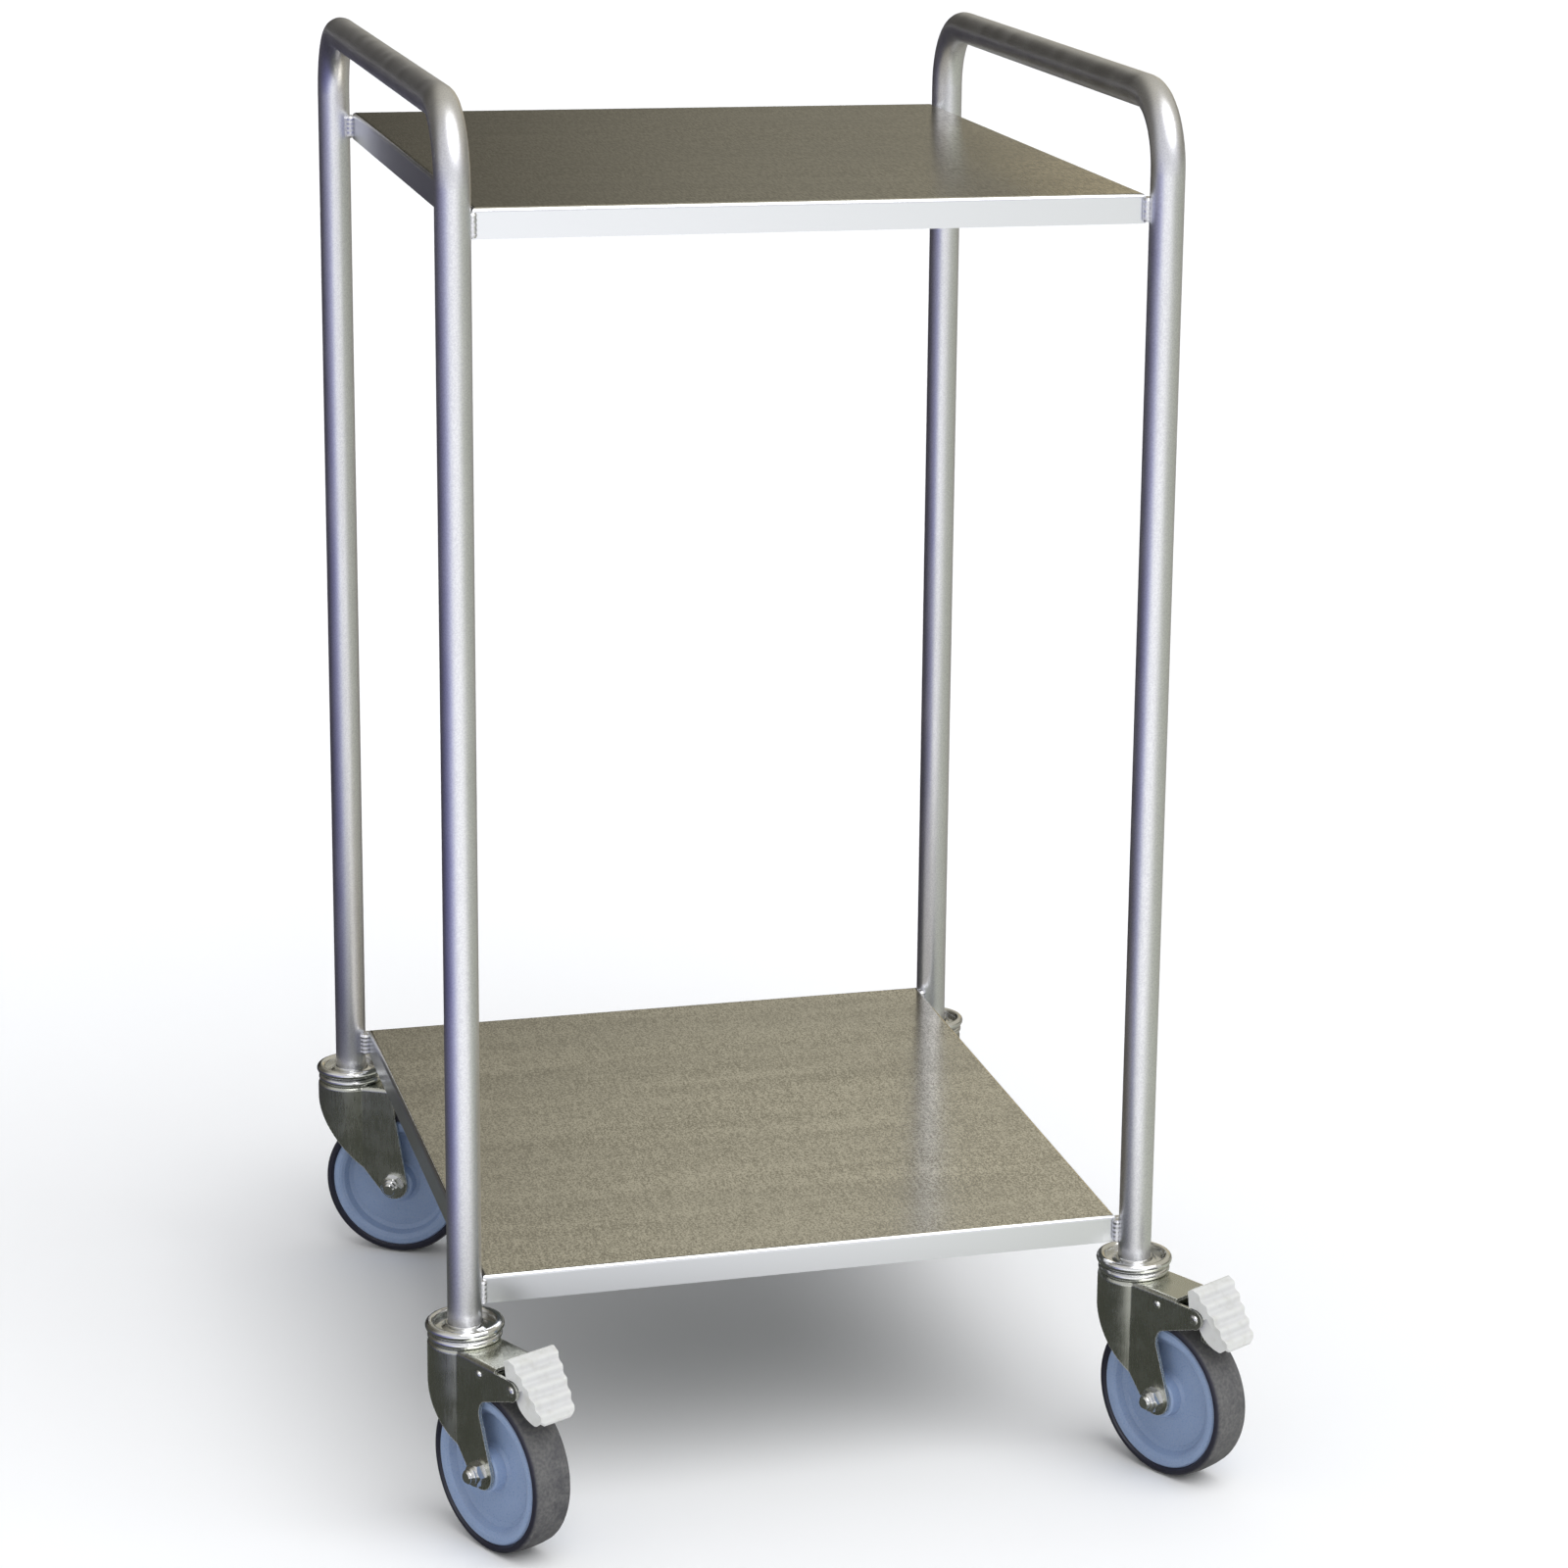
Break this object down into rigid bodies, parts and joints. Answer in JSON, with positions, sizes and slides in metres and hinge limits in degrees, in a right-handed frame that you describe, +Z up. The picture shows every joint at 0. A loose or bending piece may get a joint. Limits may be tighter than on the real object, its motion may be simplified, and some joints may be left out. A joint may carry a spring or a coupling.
{
  "type": "utility cart",
  "caption": "Two-tier steel utility cart: bent tube side frames form the handles and carry two folded sheet shelves on swivel casters with foot brakes in front.",
  "frame": {"origin": "middle of the footprint on the floor, under the wheels", "axes": "+Z up, +X to the right seen from the front, front towards -Y"},
  "size_m": [0.607, 0.6932, 1.0512],
  "materials": {
    "tube_steel": "satin stainless tube",
    "shelf_steel": "satin stainless sheet with a fine grain",
    "weld_steel": "rippled weld metal, brushed off",
    "zinc_steel": "bright zinc plated pressed steel",
    "bright_steel": "polished plated steel",
    "tyre_rubber": "dark blue grey elastic rubber",
    "wheel_plastic": "moulded blue grey plastic",
    "bush_plastic": "natural nylon",
    "pedal_plastic": "off white moulded plastic"
  },
  "bodies": {
    "frame": {"bottom_shelf": "shelf_steel", "bottom_shelf_rib": "shelf_steel", "bottom_shelf_welds": "weld_steel", "king_bolts": "bright_steel", "left_side_frame": "tube_steel", "leg_inserts": "zinc_steel", "right_side_frame": "tube_steel", "swivel_cups": "bright_steel", "top_shelf": "shelf_steel", "top_shelf_rib": "shelf_steel", "top_shelf_welds": "weld_steel"},
    "front_left_caster": {"axle_bolt_fl": "bright_steel", "axle_nut_fl": "bright_steel", "axle_sleeve_fl": "bright_steel", "balls_fl": "bright_steel", "brake_pin_fl": "bright_steel", "brake_rivet_fl": "bright_steel", "brake_spring_fl": "bright_steel", "fork_fl": "zinc_steel", "race_fl": "bright_steel"},
    "front_left_wheel": {"hub_bush_fl": "bush_plastic", "tyre_fl": "tyre_rubber", "wheel_centre_fl": "wheel_plastic"},
    "front_left_pedal": {"brake_lever_fl": "zinc_steel", "brake_pedal_fl": "pedal_plastic"},
    "front_right_caster": {"axle_bolt_fr": "bright_steel", "axle_nut_fr": "bright_steel", "axle_sleeve_fr": "bright_steel", "balls_fr": "bright_steel", "brake_pin_fr": "bright_steel", "brake_rivet_fr": "bright_steel", "brake_spring_fr": "bright_steel", "fork_fr": "zinc_steel", "race_fr": "bright_steel"},
    "front_right_wheel": {"hub_bush_fr": "bush_plastic", "tyre_fr": "tyre_rubber", "wheel_centre_fr": "wheel_plastic"},
    "front_right_pedal": {"brake_lever_fr": "zinc_steel", "brake_pedal_fr": "pedal_plastic"},
    "rear_left_caster": {"axle_bolt_rl": "bright_steel", "axle_nut_rl": "bright_steel", "axle_sleeve_rl": "bright_steel", "balls_rl": "bright_steel", "fork_rl": "zinc_steel", "race_rl": "bright_steel"},
    "rear_left_wheel": {"hub_bush_rl": "bush_plastic", "tyre_rl": "tyre_rubber", "wheel_centre_rl": "wheel_plastic"},
    "rear_right_caster": {"axle_bolt_rr": "bright_steel", "axle_nut_rr": "bright_steel", "axle_sleeve_rr": "bright_steel", "balls_rr": "bright_steel", "fork_rr": "zinc_steel", "race_rr": "bright_steel"},
    "rear_right_wheel": {"hub_bush_rr": "bush_plastic", "tyre_rr": "tyre_rubber", "wheel_centre_rr": "wheel_plastic"}
  },
  "joints": [
    {"name": "front_left_swivel", "type": "hinge", "parent": "frame", "child": "front_left_caster", "pos_m": [-0.27474, -0.24184, 0.16], "axis": [0, 0, 1], "continuous": true},
    {"name": "front_left_roll", "type": "hinge", "parent": "front_left_caster", "child": "front_left_wheel", "pos_m": [-0.25527, -0.28073, 0.0625], "axis": [0.8942, 0.4478, 0], "continuous": true},
    {"name": "front_left_brake", "type": "hinge", "parent": "front_left_caster", "child": "front_left_pedal", "pos_m": [-0.23892, -0.31337, 0.1379], "axis": [0.8942, 0.4478, 0], "range_deg": [0, 20]},
    {"name": "front_right_swivel", "type": "hinge", "parent": "frame", "child": "front_right_caster", "pos_m": [0.23886, -0.24184, 0.16], "axis": [0, 0, 1], "continuous": true},
    {"name": "front_right_roll", "type": "hinge", "parent": "front_right_caster", "child": "front_right_wheel", "pos_m": [0.25928, -0.28024, 0.0625], "axis": [0.8829, 0.4695, 0], "continuous": true},
    {"name": "front_right_brake", "type": "hinge", "parent": "front_right_caster", "child": "front_right_pedal", "pos_m": [0.27642, -0.31247, 0.1379], "axis": [0.8829, 0.4695, 0], "range_deg": [0, 20]},
    {"name": "rear_left_swivel", "type": "hinge", "parent": "frame", "child": "rear_left_caster", "pos_m": [-0.27474, 0.31776, 0.16], "axis": [0, 0, 1], "continuous": true},
    {"name": "rear_left_roll", "type": "hinge", "parent": "rear_left_caster", "child": "rear_left_wheel", "pos_m": [-0.2367, 0.29668, 0.0625], "axis": [0.4848, 0.8746, 0], "continuous": true},
    {"name": "rear_right_swivel", "type": "hinge", "parent": "frame", "child": "rear_right_caster", "pos_m": [0.23886, 0.31776, 0.16], "axis": [0, 0, 1], "continuous": true},
    {"name": "rear_right_roll", "type": "hinge", "parent": "rear_right_caster", "child": "rear_right_wheel", "pos_m": [0.2313, 0.27492, 0.0625], "axis": [0.9848, -0.1736, 0], "continuous": true}
  ]
}
